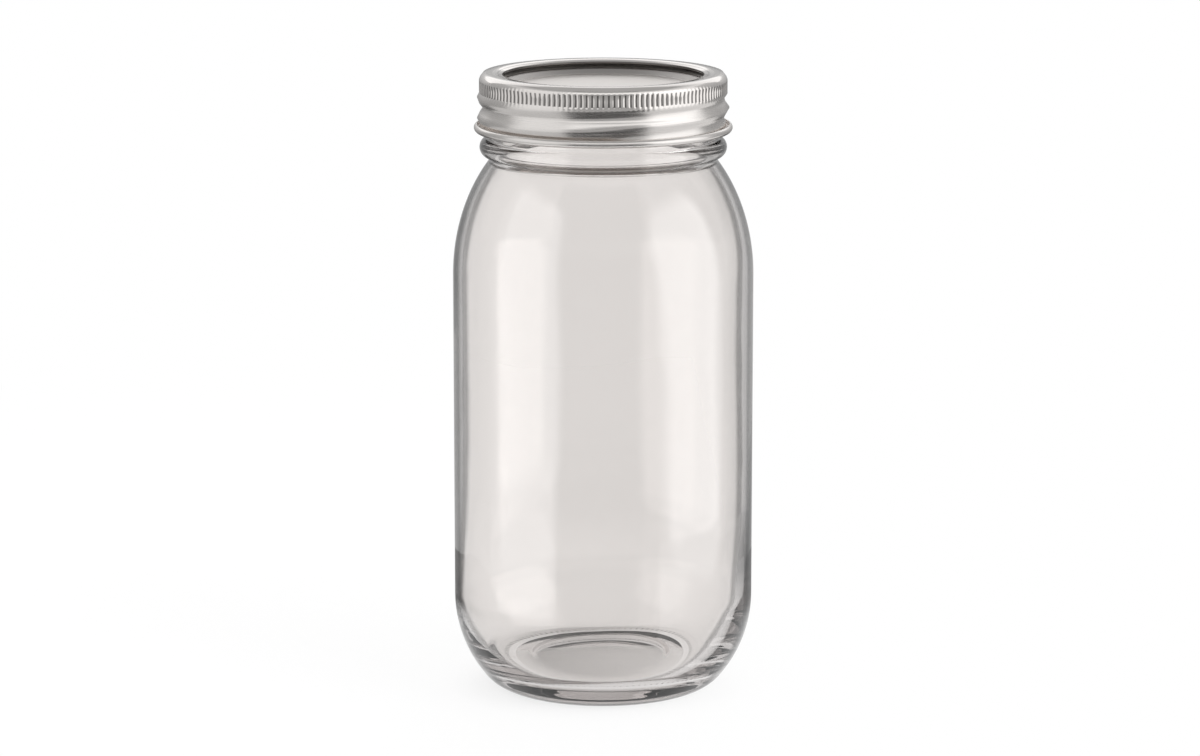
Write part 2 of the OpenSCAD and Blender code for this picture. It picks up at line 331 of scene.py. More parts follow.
def drawn_sheet_group() -> bpy.types.NodeTree:
    """The grain of drawn sheet metal: fine lines round the axis and soft rubbed patches.

    The lines are noise on the UV map, stretched round the axis. The patches are noise in space.

    Returns:
        A group with inputs Line Width and Patch Size in metres, and outputs Lines and Patches from 0 to 1.
    """
    tree = bpy.data.node_groups.new("drawn_sheet", "ShaderNodeTree")
    group_socket(tree, "Line Width", "Float", "INPUT", 0.0002)
    group_socket(tree, "Patch Size", "Float", "INPUT", 0.01)
    group_socket(tree, "Lines", "Float", "OUTPUT")
    group_socket(tree, "Patches", "Float", "OUTPUT")
    nodes, links = tree.nodes, tree.links
    inside, outside = nodes.new("NodeGroupInput"), nodes.new("NodeGroupOutput")
    place = nodes.new("ShaderNodeTexCoord")
    fine = nodes.new("ShaderNodeMath")
    fine.operation = "DIVIDE"
    fine.inputs[0].default_value = 1
    links.new(inside.outputs["Line Width"], fine.inputs[1])
    stretch = nodes.new("ShaderNodeCombineXYZ")
    stretch.inputs["X"].default_value = 60
    links.new(fine.outputs[0], stretch.inputs["Y"])
    scaled = nodes.new("ShaderNodeVectorMath")
    scaled.operation = "MULTIPLY"
    links.new(place.outputs["UV"], scaled.inputs[0])
    links.new(stretch.outputs[0], scaled.inputs[1])
    lines = nodes.new("ShaderNodeTexNoise")
    lines.inputs["Scale"].default_value = 1
    lines.inputs["Detail"].default_value = 3
    links.new(scaled.outputs[0], lines.inputs["Vector"])
    links.new(lines.outputs["Fac"], outside.inputs["Lines"])
    wide = nodes.new("ShaderNodeMath")
    wide.operation = "DIVIDE"
    wide.inputs[0].default_value = 1
    links.new(inside.outputs["Patch Size"], wide.inputs[1])
    patches = nodes.new("ShaderNodeTexNoise")
    patches.inputs["Detail"].default_value = 4
    links.new(place.outputs["Object"], patches.inputs["Vector"])
    links.new(wide.outputs[0], patches.inputs["Scale"])
    links.new(patches.outputs["Fac"], outside.inputs["Patches"])
    return tree


@dataclass(frozen=True)
class Recess:
    """A ring, or a ring of upright grooves, on a turned piece: on metal it marks where shade is painted into the
    colour, on glass a shallow mark in the surface.

    Attributes:
        low: Lowest height, in metres.
        high: Highest height, in metres.
        inner: Smallest radius, in metres.
        outer: Largest radius, in metres.
        share: How strong it is: the share of painted shade on metal, and of the marks' height on glass.
        wave: Wave number of upright grooves, in radians for each metre of the UV map; 0 for the whole ring.
    """

    low: float
    high: float
    inner: float
    outer: float
    share: float
    wave: float = 0.0

    def depth(self, shader: Shader) -> bpy.types.NodeSocket:
        """Places the shared group with this recess's sizes and gives its output."""
        shared = bpy.data.node_groups.get("recess") or recess_group()
        return shader.group(shared, Low=self.low, High=self.high, Inner=self.inner, Outer=self.outer,
                            Share=self.share, Wave=self.wave).outputs["Depth"]


def recess_group() -> bpy.types.NodeTree:
    """How strong a ring is at a point, as painted shade on metal and as a mark's height on glass: the cosine of the
    place along the ring, held above 0, within the ring.

    Returns:
        A group with an input for each size of a Recess, in metres, Share and Wave, and an output Depth from 0 to 1.
    """
    tree = bpy.data.node_groups.new("recess", "ShaderNodeTree")
    for name in ("Low", "High", "Inner", "Outer", "Share", "Wave"):
        group_socket(tree, name, "Float", "INPUT", 0)
    group_socket(tree, "Depth", "Float", "OUTPUT")
    nodes, links = tree.nodes, tree.links
    inside, outside = nodes.new("NodeGroupInput"), nodes.new("NodeGroupOutput")
    place = nodes.new("ShaderNodeTexCoord")

    def compute(operation: str, *values: bpy.types.NodeSocket) -> bpy.types.NodeSocket:
        """Adds one step of arithmetic on one or two sockets."""
        step = nodes.new("ShaderNodeMath")
        step.operation = operation
        for value, socket in zip(values, step.inputs):
            links.new(value, socket)
        return step.outputs[0]

    along, where = nodes.new("ShaderNodeSeparateXYZ"), nodes.new("ShaderNodeSeparateXYZ")
    flat, radius = nodes.new("ShaderNodeVectorMath"), nodes.new("ShaderNodeVectorMath")
    flat.operation, radius.operation = "MULTIPLY", "LENGTH"
    flat.inputs[1].default_value = (1, 1, 0)
    links.new(place.outputs["UV"], along.inputs[0])
    links.new(place.outputs["Object"], where.inputs[0])
    links.new(place.outputs["Object"], flat.inputs[0])
    links.new(flat.outputs[0], radius.inputs[0])
    depth = compute("COSINE", compute("MULTIPLY", along.outputs["X"], inside.outputs["Wave"]))
    depth = compute("MULTIPLY", depth, inside.outputs["Share"])
    depth = compute("MULTIPLY", depth, compute("GREATER_THAN", where.outputs["Z"], inside.outputs["Low"]))
    depth = compute("MULTIPLY", depth, compute("LESS_THAN", where.outputs["Z"], inside.outputs["High"]))
    depth = compute("MULTIPLY", depth, compute("GREATER_THAN", radius.outputs["Value"], inside.outputs["Inner"]))
    depth = compute("MULTIPLY", depth, compute("LESS_THAN", radius.outputs["Value"], inside.outputs["Outer"]))
    clipped = nodes.new("ShaderNodeClamp")
    links.new(depth, clipped.inputs["Value"])
    links.new(clipped.outputs[0], outside.inputs["Depth"])
    return tree


@dataclass(frozen=True)
class TinplateFinish:
    """Rolled tinplate: a warm grey metal with fine drawing lines, rubbed patches and shade painted into its colour
    in given rings.

    Attributes:
        name: Name of the material.
        colour: Colour of the clean metal.
        dull: Colour in the rubbed patches.
        roughness: Lowest and highest roughness.
        line_width: Width of the drawing lines, in metres.
        relief: Height of the lines, in metres.
        satin: Roughness that is added below a height.
        satin_from: Height above which none of it is added, in metres.
        painted_shades: Rings where shade is painted into the sheet's colour, darkening it.
    """

    name: str
    colour: tuple[float, float, float]
    dull: tuple[float, float, float]
    roughness: tuple[float, float]
    line_width: float
    relief: float
    satin: float = 0.0
    satin_from: float = 0.0
    painted_shades: tuple[Recess, ...] = ()

    def make(self, grain: bpy.types.NodeTree) -> bpy.types.Material:
        """Builds the material round the shared grain group."""
        shader = Shader(self.name)
        base = shader.principled.inputs
        base["Metallic"].default_value = 1
        drawn = shader.group(grain, Line_Width=self.line_width, Patch_Size=0.012)
        blend = shader.add("Mix", data_type="RGBA")
        blend.inputs["A"].default_value = (*self.colour, 1)
        blend.inputs["B"].default_value = (*self.dull, 1)
        shader.join(drawn.outputs["Patches"], blend.inputs["Factor"])
        colour = blend.outputs["Result"]
        # Painted shade: the colour is darkened ring by ring where shade falls.
        for recess in self.painted_shades:
            colour = self._paint_shade(shader, colour, recess)
        shader.join(colour, base["Base Color"])
        rough = shader.add("MapRange")
        rough.inputs["From Min"].default_value = 0.3
        rough.inputs["From Max"].default_value = 0.7
        rough.inputs["To Min"].default_value = self.roughness[0]
        rough.inputs["To Max"].default_value = self.roughness[1]
        shader.join(drawn.outputs["Lines"], rough.inputs["Value"])
        place = shader.add("SeparateXYZ")
        shader.join(shader.add("TexCoord").outputs["Object"], place.inputs[0])
        dulled = shader.add("MapRange")
        dulled.inputs["From Min"].default_value = self.satin_from - 0.0012
        dulled.inputs["From Max"].default_value = self.satin_from
        dulled.inputs["To Min"].default_value = self.satin
        dulled.inputs["To Max"].default_value = 0
        shader.join(place.outputs["Z"], dulled.inputs["Value"])
        whole = shader.add("Math", operation="ADD")
        shader.join(rough.outputs["Result"], whole.inputs[0])
        shader.join(dulled.outputs["Result"], whole.inputs[1])
        shader.join(whole.outputs[0], base["Roughness"])
        bump = shader.add("Bump")
        bump.inputs["Strength"].default_value = 0.25
        bump.inputs["Distance"].default_value = self.relief
        shader.join(drawn.outputs["Lines"], bump.inputs["Height"])
        shader.join(bump.outputs["Normal"], base["Normal"])
        return shader.material

    def _paint_shade(self, shader: Shader, colour: bpy.types.NodeSocket, recess: Recess) -> bpy.types.NodeSocket:
        """Paints shade into the colour in one ring: mixes it toward near black by the ring's strength."""
        darker = shader.add("Mix", data_type="RGBA")
        # Near black of the painted shade.
        darker.inputs["B"].default_value = (0.05, 0.045, 0.042, 1)
        shader.join(recess.depth(shader), darker.inputs["Factor"])
        shader.join(colour, darker.inputs["A"])
        return darker.outputs["Result"]


@dataclass(frozen=True)
class GlassFinish:
    """Clear soda-lime glass: fire-polished, faintly rippled, darker where it is thick, with painted shade in its
    tint.

    Attributes:
        name: Name of the material.
        tint_with_painted_shade: Colour of light that has passed through one wall's two faces: the glass's own faint
            tint, deepened by painted shade that stands for a grey surround seen through the glass.
        depth_colour: Colour that thick glass tends to.
        depth_density: How fast it gets there, per metre.
        ripple: Height of the ripples in the surface, in metres.
        edge_tint: Share of that light which is left where the surface is seen at a glancing angle.
        edge_span: Where that starts and is complete, as one minus the cosine of the angle to the surface.
        marks: Marks that the mould leaves.
        mark_depth: Depth of the marks, in metres.
    """

    name: str
    tint_with_painted_shade: tuple[float, float, float]
    depth_colour: tuple[float, float, float]
    depth_density: float
    ripple: float
    marks: tuple[Recess, ...]
    edge_tint: float = 0.15
    edge_span: tuple[float, float] = (0.675, 0.75)
    mark_depth: float = 0.0002

    def make(self) -> bpy.types.Material:
        """Builds the material."""
        shader = Shader(self.name)
        base = shader.principled.inputs
        glance = shader.add("LayerWeight")
        glance.inputs["Blend"].default_value = 0.5
        edge = shader.add("MapRange")
        edge.inputs["From Min"].default_value, edge.inputs["From Max"].default_value = self.edge_span
        shader.join(glance.outputs["Facing"], edge.inputs["Value"])
        # Base colour: the glass's own faint tint with painted shade for a grey surround seen through it.
        tint_with_painted_shade = shader.add("Mix", data_type="RGBA")
        tint_with_painted_shade.inputs["A"].default_value = (*self.tint_with_painted_shade, 1)
        tint_with_painted_shade.inputs["B"].default_value = (*(self.edge_tint * share for share in self.tint_with_painted_shade), 1)
        shader.join(edge.outputs["Result"], tint_with_painted_shade.inputs["Factor"])
        shader.join(tint_with_painted_shade.outputs["Result"], base["Base Color"])
        base["Transmission Weight"].default_value = 1
        base["IOR"].default_value = 1.52
        base["Roughness"].default_value = 0
        place = shader.add("TexCoord")
        ripple = shader.add("TexNoise")
        ripple.inputs["Scale"].default_value = 55
        ripple.inputs["Detail"].default_value = 1
        shader.join(place.outputs["Object"], ripple.inputs["Vector"])
        bump = shader.add("Bump")
        bump.inputs["Strength"].default_value = 0.6
        bump.inputs["Distance"].default_value = self.ripple
        shader.join(ripple.outputs["Fac"], bump.inputs["Height"])
        for mark in self.marks:
            mould = shader.add("Bump")
            mould.inputs["Distance"].default_value = self.mark_depth
            shader.join(mark.depth(shader), mould.inputs["Height"])
            shader.join(bump.outputs["Normal"], mould.inputs["Normal"])
            bump = mould
        shader.join(bump.outputs["Normal"], base["Normal"])
        depth = shader.add("VolumeAbsorption")
        depth.inputs["Color"].default_value = (*self.depth_colour, 1)
        depth.inputs["Density"].default_value = self.depth_density
        shader.join(depth.outputs["Volume"], shader.output.inputs["Volume"])
        return shader.material


@dataclass(frozen=True)
class CompoundFinish:
    """Pale matt sealing compound with a fine uneven skin.

    Attributes:
        name: Name of the material.
        colour: Colour of the compound.
        shade: Colour in its uneven patches.
    """

    name: str
    colour: tuple[float, float, float]
    shade: tuple[float, float, float]

    def make(self) -> bpy.types.Material:
        """Builds the material."""
        shader = Shader(self.name)
        base = shader.principled.inputs
        place = shader.add("TexCoord")
        mottle = shader.add("TexNoise")
        mottle.inputs["Scale"].default_value = 900
        mottle.inputs["Detail"].default_value = 4
        shader.join(place.outputs["Object"], mottle.inputs["Vector"])
        blend = shader.add("Mix", data_type="RGBA")
        blend.inputs["A"].default_value = (*self.colour, 1)
        blend.inputs["B"].default_value = (*self.shade, 1)
        shader.join(mottle.outputs["Fac"], blend.inputs["Factor"])
        shader.join(blend.outputs["Result"], base["Base Color"])
        base["Roughness"].default_value = 0.62
        bump = shader.add("Bump")
        bump.inputs["Strength"].default_value = 0.3
        bump.inputs["Distance"].default_value = 0.00005
        shader.join(mottle.outputs["Fac"], bump.inputs["Height"])
        shader.join(bump.outputs["Normal"], base["Normal"])
        return shader.material


@dataclass(frozen=True)
class Screw:
    """The helix that the glass thread and the band's ridge share, in millimetres and degrees.

    Attributes:
        pitch: Climb in one turn.
        end_angle: Angle at which the glass thread ends, from +X.
        end_z: Height of its middle there.
        turns: Turns of the glass thread.
        gap: Height of the glass thread above the ridge.
    """

    pitch: float = 5.08
    end_angle: float = 330
    end_z: float = 175.7
    turns: float = 1.25
    gap: float = 1.8

    def thread_z(self, angle: np.ndarray) -> np.ndarray:
        """Height of the glass thread's middle at an angle: end_z less the climb still to come."""
        return self.end_z - self.pitch * (self.end_angle - angle) / 360

    def nearest(self, angle: np.ndarray, z: np.ndarray, drop: float, start: float, end: float, taper: float
                ) -> tuple[np.ndarray, np.ndarray]:
        """Height above the nearest turn of a helix, and how fully that turn stands.

        The nearest turn is the rounded number of pitches between the point and the helix.
        It stands fully between start and end, easing in over taper at both.

        Args:
            angle: Angles, in degrees.
            z: Heights.
            drop: Depth of this helix below the glass thread's.
            start: Angle at which the helix starts, counted along it.
            end: Angle at which it ends.
            taper: Angle over which each end eases in.

        Returns:
            The heights above the turn, and the shares from 0 to 1.
        """
        above = z - (self.thread_z(angle) - drop)
        k = np.round(above / self.pitch)
        along = angle + 360 * k
        share = ease(start, start + taper, along) * (1 - ease(end - taper, end, along))
        return above - k * self.pitch, share


@dataclass
class GlassJar:
    """The glass: base, wall, shoulder and threaded finish in one closed surface. Sizes are in millimetres."""

    screw: Screw
    body_r: float = 43.85
    wall_t: float = 2.6
    heel_h: float = 27.2
    heel_round: float = 10.9
    inner_heel_round: float = 8.5
    inner_heel_up: float = 2.0
    foot_r: float = 28.6
    foot_slope: float = 9.0
    foot_w: float = 2.4
    pushup_h: float = 3.2
    step_r: float = 21.7
    step_h: float = 0.6
    floor_t: float = 4.2
    wall_top_z: float = 122.8
    shoulder_h: float = 33.0
    sweep: float = 43.0
    mouth_r: float = 30.15
    neck_r: float = 33.9
    waist_r: float = 33.3
    waist_round: float = 1.6
    finish_h: float = 24.4
    bead_up: float = 4.55
    bead_round: float = 2.8
    bead_proud: float = 2.05
    rim_round: float = 1.1
    thread_h: float = 1.1
    thread_w: float = 3.6
    floor_in: float = 0.5
    dish: float = 0.0
    step_w: float = 2.5
    lean_wall: float = 0.2
    lean_heel: float = 1.4
    wave: float = 0.12
    lathe: Lathe = field(default_factory=lambda: Lathe("jar_glass", 240, 43.85))

    @property
    def waist_z(self) -> float:
        """Height of the shoulder's top."""
        return self.wall_top_z + self.shoulder_h

    @property
    def rim_z(self) -> float:
        """Height of the rim."""
        return self.waist_z + self.finish_h

    def underside(self) -> np.ndarray:
        """The hollow under the base: a dome that falls as the square of the radius, with a step in it."""
        foot_in = self.foot_r - self.foot_w
        dome = self.pushup_h - self.step_h
        r = np.concatenate([
            np.linspace(0, self.step_r - self.step_w, 12),
            np.linspace(self.step_r - self.step_w, self.step_r, 7)[1:],
            np.linspace(self.step_r, foot_in - 0.2, 6)[1:],
            [foot_in],
        ])
        step = self.step_h * (1 - ease(self.step_r - self.step_w, self.step_r, r))
        return np.stack([r, dome * (1 - (r / foot_in) ** 2) + step], 1)

    def outside(self) -> np.ndarray:
        """Heel, wall, shoulder, waist, bead, neck and the rim's outer round, from the foot up."""
        slope = math.radians(self.foot_slope)
        foot = (self.foot_r - self.heel_round * math.sin(slope), self.heel_round * (math.cos(slope) - 1))
        sweep = math.radians(self.sweep)
        inward = (self.body_r - self.waist_r) * math.sin(sweep) / (1 - math.cos(sweep))
        lean = math.atan2(inward, self.shoulder_h * math.cos(sweep) / math.sin(sweep))
        shoulder_end = (self.waist_r + self.waist_round * (1 - math.cos(lean)), self.waist_z)
        t = np.linspace(-lean, 0, 8)[1:]
        waist = np.stack([self.waist_r + self.waist_round * (1 - np.cos(t)),
                          self.waist_z + self.waist_round * (math.sin(lean) + np.sin(t))], 1)
        bead_r = self.neck_r + self.bead_proud - self.bead_round
        low = math.degrees(math.acos((self.waist_r - bead_r) / self.bead_round))
        high = math.degrees(math.acos((self.neck_r - bead_r) / self.bead_round))
        bead = arc((bead_r, self.waist_z + self.bead_up), self.bead_round, -low, high, 18)
        rim = arc((self.neck_r - self.rim_round, self.rim_z - self.rim_round), self.rim_round, 0, 90, 7)
        return np.concatenate([
            line((self.foot_r - self.foot_w + 0.2, 0), (self.foot_r, 0), 3),
            heel(foot, (self.body_r, self.heel_h), self.heel_round, 14, self.foot_slope),
            line((self.body_r, self.heel_h), (self.body_r, self.wall_top_z), 12)[1:],
            ellipse_arc((self.body_r, self.wall_top_z), shoulder_end, self.sweep, 30),
            waist,
            bead,
            line(tuple(bead[-1]), tuple(rim[0]), 48)[1:],
            rim,
        ])

    def inside(self) -> np.ndarray:
        """The rim's inner round, mouth, shoulder, wall, heel and floor, from the rim down."""
        inner_r = self.body_r - self.wall_t
        floor_z = self.pushup_h + self.floor_t
        mouth_z = self.waist_z + self.wall_t / 2
        wall_z = self.heel_h + self.inner_heel_up
        rim = arc((self.mouth_r + self.rim_round, self.rim_z - self.rim_round), self.rim_round, 90, 180, 7)
        shoulder = ellipse_arc((inner_r, self.wall_top_z), (self.mouth_r, mouth_z), self.sweep, 26)
        low = heel((self.foot_r - self.floor_in, floor_z), (inner_r, wall_z), self.inner_heel_round, 16, self.dish)
        floor = np.linspace(low[0, 0], 0, 14)[1:]
        bowl = math.tan(math.radians(self.dish)) / (2 * low[0, 0])
        return np.concatenate([
            rim,
            line(tuple(rim[-1]), (self.mouth_r, mouth_z), 8)[1:],
            shoulder[::-1],
            line((inner_r, self.wall_top_z), (inner_r, wall_z), 12)[1:],
            low[::-1],
            np.stack([floor, low[0, 1] - bowl * (low[0, 0] ** 2 - floor**2)], 1),
        ])

    def build(self) -> bpy.types.Object:
        """Makes the glass.

        The neck stands out by the thread's height times a raised cosine across its width. The inner
        face is drawn a little off the axis and waved, as blown glass is, and only below the mouth.

        Returns:
            The piece.
        """
        under, outer, inner = self.underside(), self.outside(), self.inside()
        grid = self.lathe.spread(np.concatenate([under, outer, inner]))
        angle = np.degrees(self.lathe.angles())[None, :]
        first, last = len(under), len(under) + len(outer)
        z = grid[first:last, :, 1]
        in_neck = ease(self.waist_z + self.bead_up + 3, self.waist_z + self.bead_up + 4, z)
        start = self.screw.end_angle - 360 * self.screw.turns
        above, share = self.screw.nearest(angle, z, 0, start, self.screw.end_angle, 35)
        across = np.clip(above / (self.thread_w / 2), -1, 1)
        grid[first:last, :, 0] += in_neck * share * self.thread_h * (1 + np.cos(np.pi * across)) / 2
        depth = grid[last:, :, 1]
        body = ease(self.waist_z, self.wall_top_z, depth) * ease(self.pushup_h + self.floor_t, self.heel_h, depth)
        turn = np.radians(angle)
        waves = np.sin(2 * turn + 0.05 * depth) + 0.6 * np.sin(3 * turn - 0.08 * depth + 1)
        grid[last:, :, 0] += self.wave * body * waves
        in_heel = 1 - ease(self.heel_h / 2, 2 * self.heel_h, depth[:, 0])
        centre = np.zeros((len(grid), 2))
        centre[last:, 0] = -mix(self.lean_wall, self.lean_heel, in_heel) * ease(self.rim_z, self.wall_top_z, depth[:, 0])
        return self.lathe.build(grid, centre, poles=True)


@dataclass
class LidDisc:
    """The flat disc of the lid, one pressed sheet. Sizes are in millimetres."""

    top_z: float = 181.2
    thickness: float = 0.25
    panel_depth: float = 3.1
    panel_r: float = 26.4
    well_r: float = 29.6
    ledge_w: float = 1.2
    bend_w: float = 0.4
    bend_rise: float = 0.2
    seal_r: float = 31.3
    edge_r: float = 34.2
    edge_round: float = 0.5
    skirt_h: float = 0.4
    lathe: Lathe = field(default_factory=lambda: Lathe("lid_disc_sheet", 240, 30.0))

    def path(self) -> np.ndarray:
        """Centre path of the sheet, from the middle of the panel to the skirt, its bends as short arcs."""
        top = self.top_z - self.thickness / 2
        low = top - self.panel_depth
        ledge_z = low + 0.45 * self.panel_depth
        edge = self.edge_r - self.thickness / 2
        corners = [(0, low), (self.panel_r + self.bend_w / 2, low), (self.well_r - self.ledge_w, ledge_z),
                   (self.well_r, ledge_z), (self.seal_r - self.bend_w / 2, top)]
        bends = [corners[0]]
        for before, here, after in zip(corners, corners[1:], corners[2:] + [(edge, top)]):
            bends.append(rounded_corner(before, here, after, self.bend_w, 4))
        rim = arc((edge - self.edge_round, top - self.edge_round), self.edge_round, 90, 0, 6)
        flat = line((0, low), tuple(bends[1][0]), 6)
        return np.concatenate([flat, *bends[1:], rim, [[edge, top - self.edge_round - self.skirt_h]]])

    def build(self) -> bpy.types.Object:
        """Makes the disc: the sheet's outline carried round the axis, closed on it."""
        outline = sheet_outline(self.path(), self.thickness)
        outline[0, 0] = outline[-1, 0] = 0
        return self.lathe.build(self.lathe.spread(outline), poles=True)


def rounded_corner(before: tuple[float, float], here: tuple[float, float], after: tuple[float, float],
                   reach: float, count: int) -> np.ndarray:
    """Points of a parabola that rounds a corner: (1-t)^2 p + 2t(1-t) corner + t^2 q, with p and q at reach from it.

    Args:
        before: The point before the corner.
        here: The corner.
        after: The point after it.
        reach: Distance from the corner at which the curve starts and ends.
        count: Number of points.

    Returns:
        An array of count rows of radius and height.
    """
    corner = np.array(here, float)
    back = np.array(before, float) - corner
    ahead = np.array(after, float) - corner
    p = corner + back / np.linalg.norm(back) * min(reach, np.linalg.norm(back) / 2)
    q = corner + ahead / np.linalg.norm(ahead) * min(reach, np.linalg.norm(ahead) / 2)
    t = np.linspace(0, 1, count)[:, None]
    return (1 - t) ** 2 * p + 2 * t * (1 - t) * corner + t**2 * q


@dataclass
class SealingRing:
    """The ring of compound under the disc's edge. Sizes are in millimetres."""

    inner_r: float = 31.3
    outer_r: float = 33.5
    low_z: float = 180.2
    thickness: float = 0.75
    edge_round: float = 0.25
    lathe: Lathe = field(default_factory=lambda: Lathe("sealing_ring", 160, 32.4))

    def build(self) -> bpy.types.Object:
        """Makes the ring: a flat section with four rounded corners, carried round the axis."""
        e = self.edge_round
        low, high = self.low_z + e, self.low_z + self.thickness - e
        near, far = self.inner_r + e, self.outer_r - e
        section = np.concatenate([
            arc((far, low), e, -90, 0, 5),
            arc((far, high), e, 0, 90, 5),
            arc((near, high), e, 90, 180, 5),
            arc((near, low), e, 180, 270, 5),
        ])
        return self.lathe.build(self.lathe.spread(section))


@dataclass
class ScrewBand:
    """The band: hem, top, knurled ring, rolled thread and curl in one sheet. Sizes are in millimetres."""

    screw: Screw
    thickness: float = 0.3
    opening_r: float = 29.1
    hem_round: float = 0.38
    hem_w: float = 0.4
    top_z: float = 182.1
    top_fall: float = 0.45
    corner_r: float = 1.8
    wall_r: float = 35.75
    knurl_h: float = 4.2
    knurl_depth: float = 0.25
    flute_depth: float = 0.36
    knurl_sharp: float = 0.95
    knurls: int = 144
    swell_r: float = 36.6
    groove_r: float = 34.9
    band_h: float = 17.25
    curl_r: float = 1.2
    curl_in: float = 35.15
    lathe: Lathe = field(default_factory=lambda: Lathe("band_sheet", 1152, 36.0))

    @property
    def knurl_top(self) -> float:
        """Height of the knurled ring's top."""
        return self.top_z - self.corner_r

    @property
    def knurl_bottom(self) -> float:
        """Height of the knurled ring's bottom."""
        return self.knurl_top - self.knurl_h

    @property
    def curl_z(self) -> float:
        """Height of the curl's middle."""
        return self.top_z - self.band_h + self.curl_r

    def wall(self, angle: np.ndarray, z: np.ndarray) -> np.ndarray:
        """Radius of the sheet's middle in the threaded wall.

        The wall is full out between the turns and rolled in along the ridge by a raised cosine of
        the height above it, and eases into the knurled ring above and the curl below.

        Args:
            angle: Angles, in degrees.
            z: Heights.

        Returns:
            The radius at each angle and height.
        """
        start = self.screw.end_angle - 360 * self.screw.turns + 10
        above, share = self.screw.nearest(angle, z, self.screw.gap, start, self.screw.end_angle + 100, 40)
        rolled = share * (1 + np.cos(TURN * above / self.screw.pitch)) / 2
        radius = mix(self.swell_r, self.groove_r, rolled) - self.thickness / 2
        radius = mix(radius, self.wall_r - self.thickness / 2, ease(self.knurl_bottom - 1.1, self.knurl_bottom, z))
        return mix(self.curl_in + self.thickness / 2, radius, ease(self.curl_z + 0.7, self.curl_z + 2.4, z))

    def knurl(self, angle: np.ndarray, z: np.ndarray) -> np.ndarray:
        """Height of the knurled ring: a raised ring with upright flutes pressed into it.

        A flute is a triangle wave with rounded crests across, one for each knurl: the arcsine of a
        cosine held under 1. It starts abruptly under the corner and dies out softly at the bottom.

        Args:
            angle: Angles, in degrees.
            z: Heights.

        Returns:
            How far the surface stands out at each angle and height.
        """
        held = self.knurl_sharp
        flute = 0.5 + 0.5 * np.arcsin(held * np.cos(math.radians(self.knurls) * angle)) / math.asin(held)
        upper, lower = self.knurl_top, self.knurl_bottom
        ends = ease(lower + 0.2, lower + 0.9, z) * (1 - ease(upper - 0.65, upper - 0.4, z))
        ring = ease(lower - 0.6, lower, z) * (1 - ease(upper - 0.3, upper, z))
        return self.knurl_depth * ring - self.flute_depth * flute * ends

    def build(self) -> bpy.types.Object:
        """Makes the band: the sheet's centre path at every angle, then a skin on each side of it."""
        half = self.thickness / 2
        crown_z = self.top_z - half
        edge_z = crown_z - self.top_fall
        hem_r = self.opening_r + half + self.hem_round
        round_r = self.corner_r - half
        wall_r = self.wall_r - half
        hem = arc((hem_r, edge_z - self.hem_round), self.hem_round, 270, 90, 7)
        corner = arc((wall_r - round_r, crown_z - round_r), round_r, 90, 0, 7)
        curl_mid = self.curl_in + self.curl_r
        curl_path = arc((curl_mid, self.curl_z), self.curl_r - half, 180, 435, 13)
        top = np.concatenate([
            [[hem_r + self.hem_w, edge_z - 2 * self.hem_round]],
            hem,
            line(tuple(hem[-1]), tuple(corner[0]), 3)[1:],
            corner,
        ])
        upper, lower = self.knurl_top, self.knurl_bottom
        knurl_z = np.array([upper - 0.15, upper - 0.35, upper - 0.5, upper - 0.7, (upper + lower) / 2, lower + 1,
                            lower + 0.8, lower + 0.6, lower + 0.4, lower + 0.2, lower])
        wall_z = np.linspace(self.knurl_bottom - 0.2, self.curl_z + 0.3, 20)
        angle = np.degrees(self.lathe.angles())[None, :]
        straight = knurl_z[:, None]
        ring = np.stack([wall_r + self.knurl(angle, straight), np.broadcast_to(straight, (knurl_z.size, angle.size))], -1)
        low = wall_z[:, None]
        threaded = np.stack([self.wall(angle, low) + self.knurl(angle, low), np.broadcast_to(low, (wall_z.size, angle.size))], -1)
        path = np.concatenate([self.lathe.spread(top), ring, threaded, self.lathe.spread(curl_path)])
        outline = sheet_outline(path, self.thickness, coarse=3)
        return self.lathe.build(outline[::-1])


